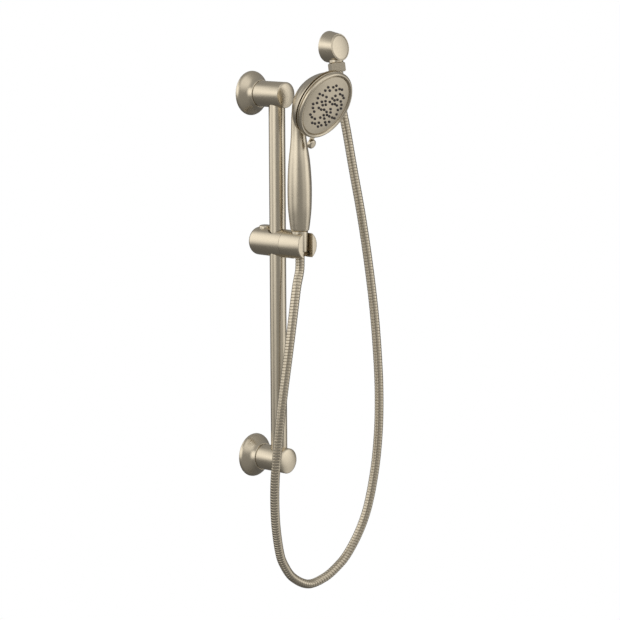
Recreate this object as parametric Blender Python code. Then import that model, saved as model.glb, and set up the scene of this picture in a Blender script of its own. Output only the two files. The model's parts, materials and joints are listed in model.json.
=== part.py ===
"""A hand shower on a slide bar, with its hose and the wall elbow that feeds it.

The wall is the plane Y = 0 and the set stands out from it towards -Y, with +Z up. The origin is
the centre of the upper wall plate's back. Sizes below are millimetres; the meshes are metres.
"""

import math

import bmesh
import bpy
from mathutils import Matrix, Vector

MM = 0.001
GAP = 0.3

# Slide bar and its two posts, measured from the wall
POST_SPACING = 560.0
BAR_STANDOFF = 54.0
BAR_RADIUS = 12.5
BAR_WALL = 1.6
BAR_END = 8.0
POST_RADIUS = 19.5
POST_BACK = 4.4
POST_EDGE = 71.8
POST_DOME = 3.4
PLATE_RADIUS = 26.0
PLATE_THICKNESS = 4.0
BOSS_RADIUS = 15.0
BOSS_LENGTH = 29.0
SCREW_HOLE_RADIUS = 2.75
SCREW_HOLE_OFFSET = 20.5
GRUB_RADIUS = 2.3
GRUB_STANDOFF = 26.0

# Slider
SLIDER_HEIGHT = -224.0
BARREL_RADIUS = 21.4
BARREL_BACK = 9.5
BARREL_FRONT = 74.4
CRADLE_FRONT = 115.2
BUSH_RADIUS = 14.6
BUSH_INNER = 7.5
BUSH_OUTER = 15.0
SHOE_RADIUS = 6.0
SHOE_BACK = 22.0
BUTTON_STANDOFF = 28.2
BUTTON_RADIUS = 9.3
RECESS_FLOOR = 11.5
PIVOT_SHAFT_RADIUS = 2.3
PIVOT_HEAD_RADIUS = 4.2
SLOT_HALF_WIDTH = 11.0

# Handset
HANDLE_STANDOFF = 99.5
HANDLE_BOTTOM = -202.0
HEAD_STANDOFF = 155.0
HEAD_HEIGHT = -12.4
HEAD_TILT = math.radians(23.5)
BEZEL_RADIUS = 53.4
DOME_RADIUS = 56.5
DOME_CENTRE = 8.0
DOME_DROP = 3.0
SHELL_EDGE = -10.3
SHELL_WALL = 2.5
NIPPLE_RADIUS = 10.2
NUT_TOP_RADIUS = 12.3
NUT_BOTTOM_RADIUS = 11.3
NUT_TOP = -202.5
NUT_BOTTOM = -233.5
TAB_CENTRE = -65.2
TAB_RADIUS = 7.2
DETENT_RADIUS = 25.0

# Wall elbow and hose
ELBOW_X = 177.3
ELBOW_HEIGHT = 62.1
ELBOW_BACK_RADIUS = 24.7
ELBOW_FRONT_RADIUS = 20.8
ELBOW_DEPTH = 24.8
ELBOW_DOME = 0.9
COLLAR_RADIUS = 11.2
THREAD_RADIUS = 9.3
OUTLET_STANDOFF = 16.2
OUTLET_HEIGHT = 37.6
OUTLET_TILT = math.radians(9.0)
WALL_NUT_FLATS = 23.5
WALL_NUT_LENGTH = 14.5
NUT_TURN = math.radians(-7.0)
FERRULE_LENGTH = 24.3
HOSE_RADIUS = 7.0
HOSE_POINTS = 78

# The hose's middle line, from the wall elbow round to the handset
HOSE_ROUTE = [
    (177.3, -20.1, 13.3),
    (177.3, -23.6, -9.0),
    (178.0, -28.0, -35.0),
    (180.0, -35.0, -69.0),
    (182.0, -46.0, -125.0),
    (185.0, -61.0, -200.0),
    (188.0, -73.0, -275.0),
    (190.0, -83.0, -351.0),
    (190.0, -90.5, -427.0),
    (189.0, -94.0, -484.0),
    (186.0, -95.0, -541.0),
    (180.0, -93.0, -599.0),
    (169.0, -88.5, -656.5),
    (155.0, -83.0, -696.0),
    (134.5, -76.5, -730.0),
    (116.0, -71.5, -748.5),
    (91.0, -65.0, -764.0),
    (60.0, -58.0, -769.5),
    (29.0, -54.0, -753.0),
    (8.0, -54.5, -728.0),
    (-5.0, -58.0, -705.0),
    (-22.0, -67.0, -662.0),
    (-33.0, -75.0, -621.0),
    (-40.0, -82.5, -581.0),
    (-43.0, -89.0, -546.0),
    (-43.0, -96.0, -492.0),
    (-40.0, -100.5, -446.0),
    (-33.0, -103.5, -394.0),
    (-27.0, -104.5, -358.0),
    (-19.5, -104.0, -321.0),
    (-10.5, -102.0, -286.0),
    (-1.0, -99.6, -262.0),
    (0.0, -99.5, -237.4),
]

FINISHES = {
    "satin_nickel": ((0.52, 0.48, 0.40), 0.34, 1.0),
    "nickel_on_plastic": ((0.52, 0.48, 0.40), 0.34, 1.0),
    "steel": ((0.55, 0.54, 0.52), 0.30, 1.0),
    "brass": ((0.62, 0.48, 0.22), 0.35, 1.0),
    "black_rubber": ((0.02, 0.02, 0.022), 0.6, 0.0),
    "white_plastic": ((0.72, 0.72, 0.70), 0.45, 0.0),
    "grey_plastic": ((0.25, 0.25, 0.26), 0.5, 0.0),
}


def clear_scene():
    for old in list(bpy.data.objects):
        bpy.data.objects.remove(old, do_unlink=True)


def finish(name):
    material = bpy.data.materials.get(name)
    if material is None:
        colour, roughness, metallic = FINISHES[name]
        material = bpy.data.materials.new(name)
        material.use_nodes = True
        shader = material.node_tree.nodes["Principled BSDF"]
        shader.inputs["Base Color"].default_value = (*colour, 1.0)
        shader.inputs["Roughness"].default_value = roughness
        shader.inputs["Metallic"].default_value = metallic
    return material


def seat(x, y, z, turn=0.0):
    """A place in the world, turned about X. A quarter turn points local Z out from the wall."""
    return Matrix.Translation(Vector((x, y, z)) * MM) @ Matrix.Rotation(turn, 4, "X")


QUARTER = math.pi / 2
UPPER_POST = seat(0, 0, 0, QUARTER)
LOWER_POST = seat(0, 0, -POST_SPACING, QUARTER)
BAR = seat(0, -BAR_STANDOFF, 0)
SLIDER = seat(0, 0, SLIDER_HEIGHT, QUARTER)
SLIDER_BAR = seat(0, -BAR_STANDOFF, SLIDER_HEIGHT)
BUTTON = seat(0, -BUTTON_STANDOFF, SLIDER_HEIGHT)
HANDLE = seat(0, -HANDLE_STANDOFF, 0)
HEAD = seat(0, -HEAD_STANDOFF, HEAD_HEIGHT, QUARTER + HEAD_TILT)
ELBOW = seat(ELBOW_X, 0, ELBOW_HEIGHT, QUARTER)
OUTLET = seat(ELBOW_X, -OUTLET_STANDOFF, OUTLET_HEIGHT, math.pi - OUTLET_TILT)

PIVOTS = {}


def pivot(name, place, parent=None):
    """An empty on a joint's axis, which the pieces that move with it hang from."""
    empty = bpy.data.objects.new(name, None)
    empty.empty_display_size = 0.02
    bpy.context.collection.objects.link(empty)
    inverse = Matrix.Identity(4)
    if parent:
        empty.parent = bpy.data.objects[parent]
        inverse = PIVOTS[parent].inverted()
    empty.matrix_parent_inverse = inverse
    empty.matrix_basis = place
    PIVOTS[name] = place


def stand(obj, place, parent):
    bpy.context.collection.objects.link(obj)
    if parent:
        obj.parent = bpy.data.objects[parent]
        obj.matrix_parent_inverse = PIVOTS[parent].inverted()
    obj.matrix_basis = place
    return obj


def mesh_object(name, bm, place, parent=None, material=None, smooth_angle=32):
    bmesh.ops.remove_doubles(bm, verts=bm.verts, dist=0.001)
    bmesh.ops.dissolve_degenerate(bm, edges=bm.edges, dist=0.0005)
    bmesh.ops.recalc_face_normals(bm, faces=bm.faces)
    bmesh.ops.scale(bm, vec=(MM, MM, MM), verts=bm.verts)
    mesh = bpy.data.meshes.new(name)
    bm.to_mesh(mesh)
    bm.free()
    mesh.shade_smooth()
    mesh.set_sharp_from_angle(angle=math.radians(smooth_angle))
    if material:
        mesh.materials.append(finish(material))
    return stand(bpy.data.objects.new(name, mesh), place, parent)


def spun(profile, sides):
    """A closed outline of (radius, height) points, spun about Z."""
    bm = bmesh.new()
    verts = [bm.verts.new((r, 0.0, z)) for r, z in profile]
    edges = []
    for a, b in zip(verts, verts[1:] + verts[:1]):
        if a.co.x > 0 or b.co.x > 0:
            edges.append(bm.edges.new((a, b)))
    bmesh.ops.spin(
        bm,
        geom=verts + edges,
        axis=(0, 0, 1),
        cent=(0, 0, 0),
        steps=sides,
        angle=2 * math.pi,
        use_merge=True,
    )
    return bm


def turned(name, profile, place, parent=None, material=None, sides=28):
    return mesh_object(name, spun(profile, sides), place, parent, material)


def dropped(bm):
    """The head's back, which sags down the face by DOME_DROP away from its rim."""
    for v in bm.verts:
        v.co.y -= DOME_DROP * min(max((SHELL_EDGE - v.co.z) / 9, 0.0), 1.0)
    return bm


def ring(inner, outer, low, high):
    return [(inner, low), (outer, low), (outer, high), (inner, high)]


def rod(radius, low, high):
    return [(0, low), (radius, low), (radius, high), (0, high)]


def arc(centre_r, centre_z, radius, start, end, steps):
    """Points on an arc of an outline; angles in degrees from +R towards +Z."""
    points = []
    for i in range(steps + 1):
        a = math.radians(start + (end - start) * i / steps)
        points.append((centre_r + radius * math.cos(a), centre_z + radius * math.sin(a)))
    return points


def swept(stations, sides):
    """Rings round a bent middle line; a station is (y, z, radius)."""
    bm = bmesh.new()
    rings = []
    for i, (y, z, radius) in enumerate(stations):
        before = stations[max(i - 1, 0)]
        after = stations[min(i + 1, len(stations) - 1)]
        along = Vector((0, after[0] - before[0], after[1] - before[1])).normalized()
        across = Vector((1, 0, 0))
        up = along.cross(across)
        centre = Vector((0, y, z))
        turn = [2 * math.pi * k / sides for k in range(sides)]
        rings.append(
            [bm.verts.new(centre + radius * (math.cos(a) * across + math.sin(a) * up)) for a in turn]
        )
    for low, high in zip(rings, rings[1:]):
        for k in range(sides):
            m = (k + 1) % sides
            bm.faces.new((low[k], low[m], high[m], high[k]))
    bm.faces.new(rings[0])
    bm.faces.new(rings[-1])
    return bm


def helix(name, place, parent, radius, wire, low, high, turns, material="steel"):
    """A coil spring about local Z, as a bevelled curve with filled caps."""
    steps = int(8 * turns)
    curve = bpy.data.curves.new(name, "CURVE")
    curve.dimensions = "3D"
    curve.bevel_depth = wire * MM
    curve.bevel_resolution = 0
    curve.use_fill_caps = True
    line = curve.splines.new("POLY")
    line.points.add(steps)
    for i, point in enumerate(line.points):
        a = 2 * math.pi * turns * i / steps
        z = low + wire + (high - low - 2 * wire) * i / steps
        point.co = (radius * math.cos(a) * MM, radius * math.sin(a) * MM, z * MM, 1)
    curve.materials.append(finish(material))
    return stand(bpy.data.objects.new(name, curve), place, parent)


def boolean(obj, tool, operation="DIFFERENCE"):
    tool.hide_render = True
    tool.display_type = "WIRE"
    change = obj.modifiers.new(tool.name, "BOOLEAN")
    change.object = tool
    change.operation = operation
    change.solver = "EXACT"


def bore(obj, name, place, parent, radius, low, high, sides=24):
    boolean(obj, turned(name, rod(radius, low, high), place, parent, sides=sides))


def block(name, x, y, z, place, parent=None):
    """A box from its (low, high) spans on local X, Y and Z."""
    bm = bmesh.new()
    bmesh.ops.create_cube(bm, size=1.0)
    for v in bm.verts:
        for axis, span in enumerate((x, y, z)):
            v.co[axis] = span[0] if v.co[axis] < 0 else span[1]
    return mesh_object(name, bm, place, parent)


def beside(place, x=0.0, y=0.0, z=0.0, turn=0.0):
    """A place moved along its own axes, then turned about its own X."""
    return place @ seat(x, y, z, turn)


def wall_mount(name, place, bar_end):
    """A plate screwed to the wall, the flared cover over it and the post that the bar sits in."""
    plate = turned(
        f"{name}_wall_plate",
        [
            (0, 0),
            (PLATE_RADIUS, 0),
            (PLATE_RADIUS, PLATE_THICKNESS),
            (BOSS_RADIUS, PLATE_THICKNESS),
            (BOSS_RADIUS, BOSS_LENGTH - 1),
            (BOSS_RADIUS - 1, BOSS_LENGTH),
            (0, BOSS_LENGTH),
        ],
        place,
        material="steel",
    )
    for side in (-1, 1):
        hole = beside(place, x=side * SCREW_HOLE_OFFSET)
        bore(plate, f"{name}_screw_hole_{side}", hole, None, SCREW_HOLE_RADIUS, -2, 8, 16)

    rim = [(33.0, 0), (33.5, 1.6), (33.2, 4.0), (31.6, 6.6)]
    bell = [(28.8, 9.3), (26.2, 11.8), (24.1, 14.2), (22.5, 16.8), (21.6, 19.4)]
    lip = [(21.3, 21.4), (20.2, 21.9)]
    inside = [(19.8, 11.0), (28.6, 4.6), (30.6, 0)]
    turned(f"{name}_escutcheon", rim + bell + lip + inside, place, material="nickel_on_plastic", sides=32)

    dome = [
        (POST_RADIUS * math.cos(a), POST_EDGE + POST_DOME * math.sin(a))
        for a in (math.radians(d) for d in (0, 20, 45, 68, 90))
    ]
    dome[-1] = (0, POST_EDGE + POST_DOME)
    socket = BOSS_RADIUS + GAP
    post = turned(
        f"{name}_post",
        [(socket, POST_BACK), (POST_RADIUS, POST_BACK)]
        + dome
        + [(0, BOSS_LENGTH + GAP), (socket, BOSS_LENGTH + GAP)],
        place,
        material="nickel_on_plastic",
    )
    low, high = sorted((bar_end + GAP * (1 if bar_end > 0 else -1), -30 if bar_end > 0 else 30))
    bar_bore = beside(place, z=BAR_STANDOFF, turn=-QUARTER)
    bore(post, f"{name}_bar_bore", bar_bore, None, BAR_RADIUS + GAP, low, high, 32)
    grub = beside(place, z=GRUB_STANDOFF, turn=-QUARTER)
    bore(post, f"{name}_grub_hole", grub, None, GRUB_RADIUS + GAP, -24, -BOSS_RADIUS, 12)
    screw = turned(
        f"{name}_post_grub_screw",
        rod(GRUB_RADIUS, -POST_RADIUS + 0.5, -BOSS_RADIUS - 0.5),
        grub,
        material="steel",
        sides=12,
    )
    key = turned(f"{name}_grub_key", rod(1.3, -24, -POST_RADIUS + 2.2), grub, sides=6)
    boolean(screw, key)


def slide_bar():
    turned(
        "slide_bar",
        ring(BAR_RADIUS - BAR_WALL, BAR_RADIUS, -POST_SPACING - BAR_END, BAR_END),
        BAR,
        material="satin_nickel",
    )


def slider_carriage():
    """The two plastic bushes that ride on the bar, clear of the shoe between them."""
    for name, low, high in (("upper", BUSH_INNER, BUSH_OUTER), ("lower", -BUSH_OUTER, -BUSH_INNER)):
        turned(
            f"slider_bush_{name}",
            ring(BAR_RADIUS + GAP, BUSH_RADIUS, low, high),
            SLIDER_BAR,
            "slider_height_axis",
            "white_plastic",
        )


def slider_barrel():
    """The slider's rear body, which turns on the bush."""
    corner = arc(BARREL_RADIUS - 8, BARREL_BACK + 8, 8, -90, 0, 6)
    edge = [(BARREL_RADIUS, BARREL_FRONT - 0.5), (BARREL_RADIUS - 0.5, BARREL_FRONT)]
    outline = [(0, BARREL_BACK)] + corner + edge + [(0, BARREL_FRONT)]
    barrel = turned("slider_barrel", outline, SLIDER, "slider_swivel_axis", "nickel_on_plastic", 32)
    holes = (
        ("barrel_bar_bore", SLIDER_BAR, BUSH_RADIUS + GAP, -30, 30, 28),
        ("barrel_shoe_bore", SLIDER, SHOE_RADIUS + GAP, 13.8, 44, 20),
        ("barrel_button_recess", BUTTON, BUTTON_RADIUS + GAP, RECESS_FLOOR, 30, 28),
        ("barrel_stem_hole", BUTTON, 3.0, 2, RECESS_FLOOR + 1, 12),
        ("barrel_pivot_counterbore", SLIDER, PIVOT_HEAD_RADIUS + 0.4, 60, 71.5, 16),
        ("barrel_pivot_hole", SLIDER, PIVOT_SHAFT_RADIUS + 0.4, 60, 78, 12),
    )
    for name, place, radius, low, high, sides in holes:
        bore(barrel, name, place, "slider_swivel_axis", radius, low, high, sides)


def slider_lock():
    """The push button on top, its stem, and the sprung shoe that its stem draws off the bar."""
    shoe = turned(
        "brake_shoe",
        rod(SHOE_RADIUS, SHOE_BACK, BAR_STANDOFF - BAR_RADIUS + 1),
        SLIDER,
        "brake_shoe_axis",
        "grey_plastic",
        20,
    )
    bore(shoe, "shoe_face", SLIDER_BAR, "brake_shoe_axis", BAR_RADIUS + GAP, -10, 10, 32)
    boolean(shoe, block("shoe_notch", (-8, 8), (0, 8), (24.5, 33), SLIDER, "brake_shoe_axis"))
    helix("shoe_spring", SLIDER, "slider_swivel_axis", 4.2, 0.5, 14.1, SHOE_BACK - GAP, 4)

    stem = [(0, 4.6), (1.6, 4.6), (2.6, 5.6), (2.6, 20.5)]
    skirt = [(7.3, 20.5), (7.3, 15.5), (BUTTON_RADIUS, 15.5)]
    crown = [(BUTTON_RADIUS, 23.2), (8.7, 24.2), (6.5, 24.9), (3.5, 25.4), (0, 25.5)]
    turned("lock_button", stem + skirt + crown, BUTTON, "lock_button_axis", "nickel_on_plastic", 28)
    helix("button_spring", BUTTON, "slider_swivel_axis", 5.0, 0.45, RECESS_FLOOR + GAP, 20.2, 4)


def nut_radius(height):
    """The cone nut's outside radius at a height below its top."""
    share = (NUT_TOP - height) / (NUT_TOP - NUT_BOTTOM)
    return NUT_TOP_RADIUS + (NUT_BOTTOM_RADIUS - NUT_TOP_RADIUS) * share


def handset_cradle():
    """The slider's front end, which tilts on its pivot screw and holds the cone nut."""
    back = BARREL_FRONT + 0.4
    front = [
        (21.3, CRADLE_FRONT - 2.4),
        (20.7, CRADLE_FRONT - 0.8),
        (19.3, CRADLE_FRONT),
        (0, CRADLE_FRONT),
    ]
    cradle = turned(
        "handset_cradle",
        [(0, back), (20.8, back), (21.3, back + 0.5)] + front,
        SLIDER,
        "cradle_tilt_axis",
        "nickel_on_plastic",
        32,
    )
    low, high = SLIDER_HEIGHT - 26, SLIDER_HEIGHT + 26
    fit = GAP + 0.1
    cone = [(0, low), (nut_radius(low) + fit, low), (nut_radius(high) + fit, high), (0, high)]
    boolean(cradle, turned("cradle_seat", cone, HANDLE, "cradle_tilt_axis"))
    width = (-SLOT_HALF_WIDTH, SLOT_HALF_WIDTH)
    slot = block("cradle_slot", width, (-26, 26), (HANDLE_STANDOFF, 122), SLIDER, "cradle_tilt_axis")
    boolean(cradle, slot)
    bore(cradle, "cradle_washer_recess", SLIDER, "cradle_tilt_axis", 11.9, 70, back + 1.6, 24)
    pilot = PIVOT_SHAFT_RADIUS + GAP
    bore(cradle, "cradle_pilot_hole", SLIDER, "cradle_tilt_axis", pilot, 70, 85.4, 12)
    head = [(0, 69.2), (PIVOT_HEAD_RADIUS, 69.2), (PIVOT_HEAD_RADIUS, 71.2)]
    shaft = [(PIVOT_SHAFT_RADIUS, 71.2), (PIVOT_SHAFT_RADIUS, 85.0), (0, 85.0)]
    turned("cradle_pivot_screw", head + shaft, SLIDER, "cradle_tilt_axis", "steel", 12)
    turned(
        "cradle_friction_washer",
        ring(PIVOT_SHAFT_RADIUS + 0.5, 11.5, back + GAP / 2, back + 1.3),
        SLIDER,
        "cradle_tilt_axis",
        "white_plastic",
        24,
    )


def handle_line(inset):
    """Stations up the handle and round into the head, drawn in by a wall thickness."""
    bottom = [] if inset else [(0, HANDLE_BOTTOM, 12.4), (0, HANDLE_BOTTOM + 0.8, 13.3)]
    grip = [
        (0, -197.5, 14.3),
        (0, -186, 15.9),
        (0, -168, 17.7),
        (0, -150, 18.2),
        (0, -132, 18.2),
        (0.2, -114, 17.4),
        (0.5, -96, 16.0),
        (1.0, -78, 13.5),
        (1.7, -60, 11.5),
        (1.8, -45, 11.2),
        (0.6, -30, 11.6),
        (-3.0, -16, 12.4),
        (-9.0, -4, 13.4),
        (-17.5, 5, 13.6),
        (-28.0, 10, 12.0),
    ]
    return bottom + [(y, z, r - inset) for y, z, r in grip]


def handset_body():
    """One moulding: the domed back of the head, the neck and the hollow handle."""
    edge = math.degrees(math.asin((SHELL_EDGE - DOME_CENTRE) / DOME_RADIUS))
    outside = [(0, SHELL_EDGE)] + arc(0, DOME_CENTRE, DOME_RADIUS, edge, -90, 9)
    outside[-1] = (0, DOME_CENTRE - DOME_RADIUS)
    dome = dropped(spun(outside, 36))
    body = mesh_object("handset_body", dome, HEAD, "handset_lift_axis", "nickel_on_plastic")
    grip = mesh_object("grip_outside", swept(handle_line(0), 24), HANDLE, "handset_lift_axis")
    boolean(body, grip, "UNION")
    hollow = DOME_RADIUS - SHELL_WALL
    start = math.degrees(math.asin((SHELL_EDGE + 3 - DOME_CENTRE) / hollow))
    cavity = [(0, SHELL_EDGE + 3)] + arc(0, DOME_CENTRE, hollow, start, -90, 7)
    cavity[-1] = (0, DOME_CENTRE - hollow)
    hollow_dome = dropped(spun(cavity, 28))
    boolean(body, mesh_object("head_cavity", hollow_dome, HEAD, "handset_lift_axis"))
    inside = swept(handle_line(SHELL_WALL), 16)
    boolean(body, mesh_object("grip_cavity", inside, HANDLE, "handset_lift_axis"))
    bore(body, "grip_mouth", HANDLE, "handset_lift_axis", NIPPLE_RADIUS + GAP, -210, -190, 24)
    bosses = (
        ("centre_boss", HEAD, 5.5, 2.3, -21.0, -55.0, -30.0),
        ("detent_boss", beside(HEAD, y=DETENT_RADIUS), 4.0, 2.25, -14.6, -38.4, -25.5),
    )
    for name, place, outer, inner, front, root, floor in bosses:
        solid = turned(name, rod(outer, root, front), place, "handset_lift_axis", sides=16)
        boolean(body, solid, "UNION")
        bore(body, f"{name}_hole", place, "handset_lift_axis", inner, floor, front + 1, 12)


def spray_face():
    """The bezel, face plate, rubber nozzles and manifold, held by one hidden screw."""
    lip = [(47.2, -5.9), (47.2, -1.0), (49.4, 0), (51.4, -0.4), (52.8, -1.5)]
    back = [(BEZEL_RADIUS, -3.0), (53.1, -4.7), (52.3, -5.9)]
    turned("face_bezel", lip + back, HEAD, "handset_lift_axis", "nickel_on_plastic", 36)
    crown = [(0, 2.6), (16, 2.1), (31, 0.6), (40, -0.8), (46.9, -2.1)]
    plate = crown + [(46.9, -4.6), (0, -4.6)]
    turned("spray_plate", plate, HEAD, "handset_lift_axis", "nickel_on_plastic", 32)
    turned("nozzle_mat", rod(44.5, -6.4, -4.9), HEAD, "handset_lift_axis", "black_rubber", 32)
    manifold = turned(
        "manifold",
        [
            (4.4, -6.7),
            (44.2, -6.7),
            (44.2, -9.5),
            (5.0, -9.5),
            (5.0, -20.6),
            (2.5, -20.6),
            (2.5, -9.0),
            (4.4, -9.0),
        ],
        HEAD,
        "handset_lift_axis",
        "grey_plastic",
    )
    for k in range(4):
        a = math.pi / 4 + k * math.pi / 2
        port = beside(HEAD, x=9.2 * math.cos(a), y=9.2 * math.sin(a))
        bore(manifold, f"manifold_port_{k}", port, "handset_lift_axis", 2.2, -12, -4, 10)
    screw = [(0, -29.0), (2.0, -29.0), (2.0, -8.7), (3.9, -8.7), (3.9, -7.0), (0, -7.0)]
    turned("manifold_screw", screw, HEAD, "handset_lift_axis", "steel", 14)


def selector():
    """The ring with the thumb tab, and the diverter disc that turns with it."""
    rim = [(45.0, -6.3), (52.0, -6.3), (52.3, -8.1), (52.0, -9.9)]
    web = [(47.6, -9.9), (47.6, -11.9), (14.0, -11.9), (14.0, -9.9), (45.0, -9.9)]
    outer = turned("selector_ring", rim + web, HEAD, "selector_axis", "nickel_on_plastic", 32)
    neck = block("tab_neck", (-4.4, 4.4), (TAB_CENTRE + 2, -48.5), (-8.8, -6.9), HEAD, "selector_axis")
    boolean(outer, neck, "UNION")
    lobe = [(0, -8.9), (5.6, -8.9), (TAB_RADIUS, -7.9), (TAB_RADIUS, -3.2), (5.4, -1.9), (0, -1.5)]
    tab = turned("tab_lobe", lobe, beside(HEAD, y=TAB_CENTRE), "selector_axis", sides=16)
    boolean(outer, tab, "UNION")
    disc = turned(
        "diverter_disc", ring(5.3, 13.7, -13.2, -9.9), HEAD, "selector_axis", "white_plastic", 24
    )
    port = beside(HEAD, x=-9.2 * math.sin(math.pi / 4), y=9.2 * math.cos(math.pi / 4))
    bore(disc, "diverter_port", port, "selector_axis", 2.4, -16, -6, 10)
    ball = [(0, -15.8)] + arc(0, -14.0, 1.8, -90, 90, 6)[1:-1] + [(0, -12.2)]
    detent = beside(HEAD, y=DETENT_RADIUS)
    turned("detent_ball", ball, detent, "handset_lift_axis", "steel", 12)
    helix("detent_spring", detent, "handset_lift_axis", 1.5, 0.35, -25.2, -16.1, 5)


def water_inlet():
    """What the water meets from the hose to the head, and the nut that joins hose and handle."""
    parent = "handset_lift_axis"
    turned("inlet_nipple", ring(6.7, NIPPLE_RADIUS, -216.0, -186.0), HANDLE, parent, "brass", 24)
    turned("flow_restrictor", ring(1.6, 6.4, -209, -205), HANDLE, parent, "white_plastic", 16)
    turned("handle_waterway", ring(5.0, 6.2, -185.6, -62), HANDLE, parent, "grey_plastic", 16)
    turned("inlet_washer", ring(6.5, 9.9, -218.3, -216.3), HANDLE, parent, "black_rubber", 20)
    outside = [
        (NUT_TOP_RADIUS - 0.5, NUT_TOP),
        (NUT_TOP_RADIUS, NUT_TOP - 0.6),
        (NUT_BOTTOM_RADIUS, NUT_BOTTOM + 0.9),
        (NUT_BOTTOM_RADIUS - 0.8, NUT_BOTTOM),
    ]
    inside = [(7.6, NUT_BOTTOM), (7.6, -221.3), (10.5, -221.3), (10.5, NUT_TOP)]
    turned("hose_cone_nut", outside + inside, HANDLE, parent, "satin_nickel", 32)
    flange = [(5.0, -218.6), (9.9, -218.6), (9.9, -221.0), (7.3, -221.0)]
    sleeve = [(7.3, -237.0), (5.0, -237.0)]
    turned(
        "handset_hose_ferrule", flange + sleeve, HANDLE, "hose_swivel_axis", "satin_nickel", 24
    )


def wall_elbow():
    """The elbow on the wall, with its female inlet behind and its outlet below."""
    outside = [
        (24.0, 0),
        (ELBOW_BACK_RADIUS, 0.8),
        (ELBOW_FRONT_RADIUS, ELBOW_DEPTH - 1.0),
        (ELBOW_FRONT_RADIUS - 0.9, ELBOW_DEPTH),
    ]
    crown = [(11.0, ELBOW_DEPTH + 0.7 * ELBOW_DOME), (0, ELBOW_DEPTH + ELBOW_DOME)]
    inlet = [(0, 14), (10.3, 14), (10.3, 0)]
    round_body = spun(outside + crown + inlet, 36)
    for v in round_body.verts:
        if v.co.z > ELBOW_DEPTH - 2:
            v.co.z -= v.co.y * math.tan(OUTLET_TILT)
    body = mesh_object("wall_elbow", round_body, ELBOW, material="satin_nickel")
    boolean(body, turned("elbow_collar", rod(COLLAR_RADIUS, -9, -GAP), OUTLET), "UNION")
    bore(body, "elbow_outlet_bore", OUTLET, None, THREAD_RADIUS + GAP, -12.0, 4)
    bore(body, "elbow_waterway", OUTLET, None, 5.5, -26, 0, 16)
    turned("outlet_nipple", ring(6.6, THREAD_RADIUS, -11.5, 9.0), OUTLET, material="brass", sides=20)
    turned("check_valve", ring(2.5, 6.3, -6, 2), OUTLET, material="white_plastic", sides=14)
    turned("wall_hose_washer", ring(6.5, 9.1, 9.3, 10.7), OUTLET, material="black_rubber", sides=16)
    corner = WALL_NUT_FLATS / math.sqrt(3)
    nut_outside = [
        (corner - 1.1, 0),
        (corner, 0.8),
        (corner, WALL_NUT_LENGTH - 0.8),
        (corner - 1.1, WALL_NUT_LENGTH),
    ]
    turn = Matrix.Rotation(NUT_TURN, 4, "Z")
    nut = turned("wall_hose_nut", [(0, 0)] + nut_outside + [(0, WALL_NUT_LENGTH)], OUTLET @ turn,
                 material="satin_nickel", sides=6)
    bore(nut, "wall_nut_thread", OUTLET, None, THREAD_RADIUS + GAP, -2, 12.7)
    bore(nut, "wall_nut_mouth", OUTLET, None, 8.4, 10, 18, 24)
    flange = [(5.0, 11.0), (9.2, 11.0), (9.2, 12.4), (8.0, 12.4), (8.0, 15.1)]
    sleeve = [(9.0, 15.5), (9.0, FERRULE_LENGTH - 0.8), (8.3, FERRULE_LENGTH), (5.0, FERRULE_LENGTH)]
    turned("wall_hose_ferrule", flange + sleeve, OUTLET, material="satin_nickel", sides=28)


def smooth_line(points, count):
    """Even points on a smooth curve through a route's own points."""
    knots = [Vector(p) for p in points]
    fine = []
    for i in range(len(knots) - 1):
        before = knots[max(i - 1, 0)]
        a, b = knots[i], knots[i + 1]
        after = knots[min(i + 2, len(knots) - 1)]
        for k in range(12):
            t = k / 12
            fine.append(
                0.5
                * (
                    2 * a
                    + (b - before) * t
                    + (2 * before - 5 * a + 4 * b - after) * t**2
                    + (3 * a - before - 3 * b + after) * t**3
                )
            )
    fine.append(knots[-1])
    reach = [0.0]
    for p, q in zip(fine, fine[1:]):
        reach.append(reach[-1] + (q - p).length)
    line = []
    j = 0
    for i in range(count):
        want = reach[-1] * i / (count - 1)
        while j < len(reach) - 2 and reach[j + 1] < want:
            j += 1
        share = (want - reach[j]) / (reach[j + 1] - reach[j])
        line.append(fine[j].lerp(fine[j + 1], min(max(share, 0.0), 1.0)))
    return line


def shower_hose():
    curve = bpy.data.curves.new("shower_hose", "CURVE")
    curve.dimensions = "3D"
    curve.bevel_depth = HOSE_RADIUS * MM
    curve.bevel_resolution = 2
    curve.use_fill_caps = True
    line = curve.splines.new("POLY")
    line.points.add(HOSE_POINTS - 1)
    for point, place in zip(line.points, smooth_line(HOSE_ROUTE, HOSE_POINTS)):
        point.co = (*(place * MM), 1)
    curve.materials.append(finish("satin_nickel"))
    stand(bpy.data.objects.new("shower_hose", curve), Matrix.Identity(4), None)


def build():
    clear_scene()
    pivot("slider_height_axis", SLIDER_BAR)
    pivot("slider_swivel_axis", SLIDER_BAR, "slider_height_axis")
    pivot("brake_shoe_axis", SLIDER, "slider_swivel_axis")
    pivot("lock_button_axis", BUTTON, "slider_swivel_axis")
    pivot("cradle_tilt_axis", SLIDER, "slider_swivel_axis")
    pivot("handset_lift_axis", HANDLE, "cradle_tilt_axis")
    pivot("selector_axis", HEAD, "handset_lift_axis")
    pivot("hose_swivel_axis", HANDLE, "handset_lift_axis")
    wall_mount("upper", UPPER_POST, BAR_END)
    wall_mount("lower", LOWER_POST, -BAR_END)
    slide_bar()
    slider_carriage()
    slider_barrel()
    slider_lock()
    handset_cradle()
    handset_body()
    spray_face()
    selector()
    water_inlet()
    wall_elbow()
    shower_hose()


build()
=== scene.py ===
"""The looks of a hand shower on a slide bar: finishes, fine shapes, the ribbed hose and the studio.

Sizes are millimetres unless a name says otherwise; the meshes are metres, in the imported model's frame.
The wall is the plane Y = 0, the set stands out from it towards -Y, and +Z is up.
"""

import json
import math

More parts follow.
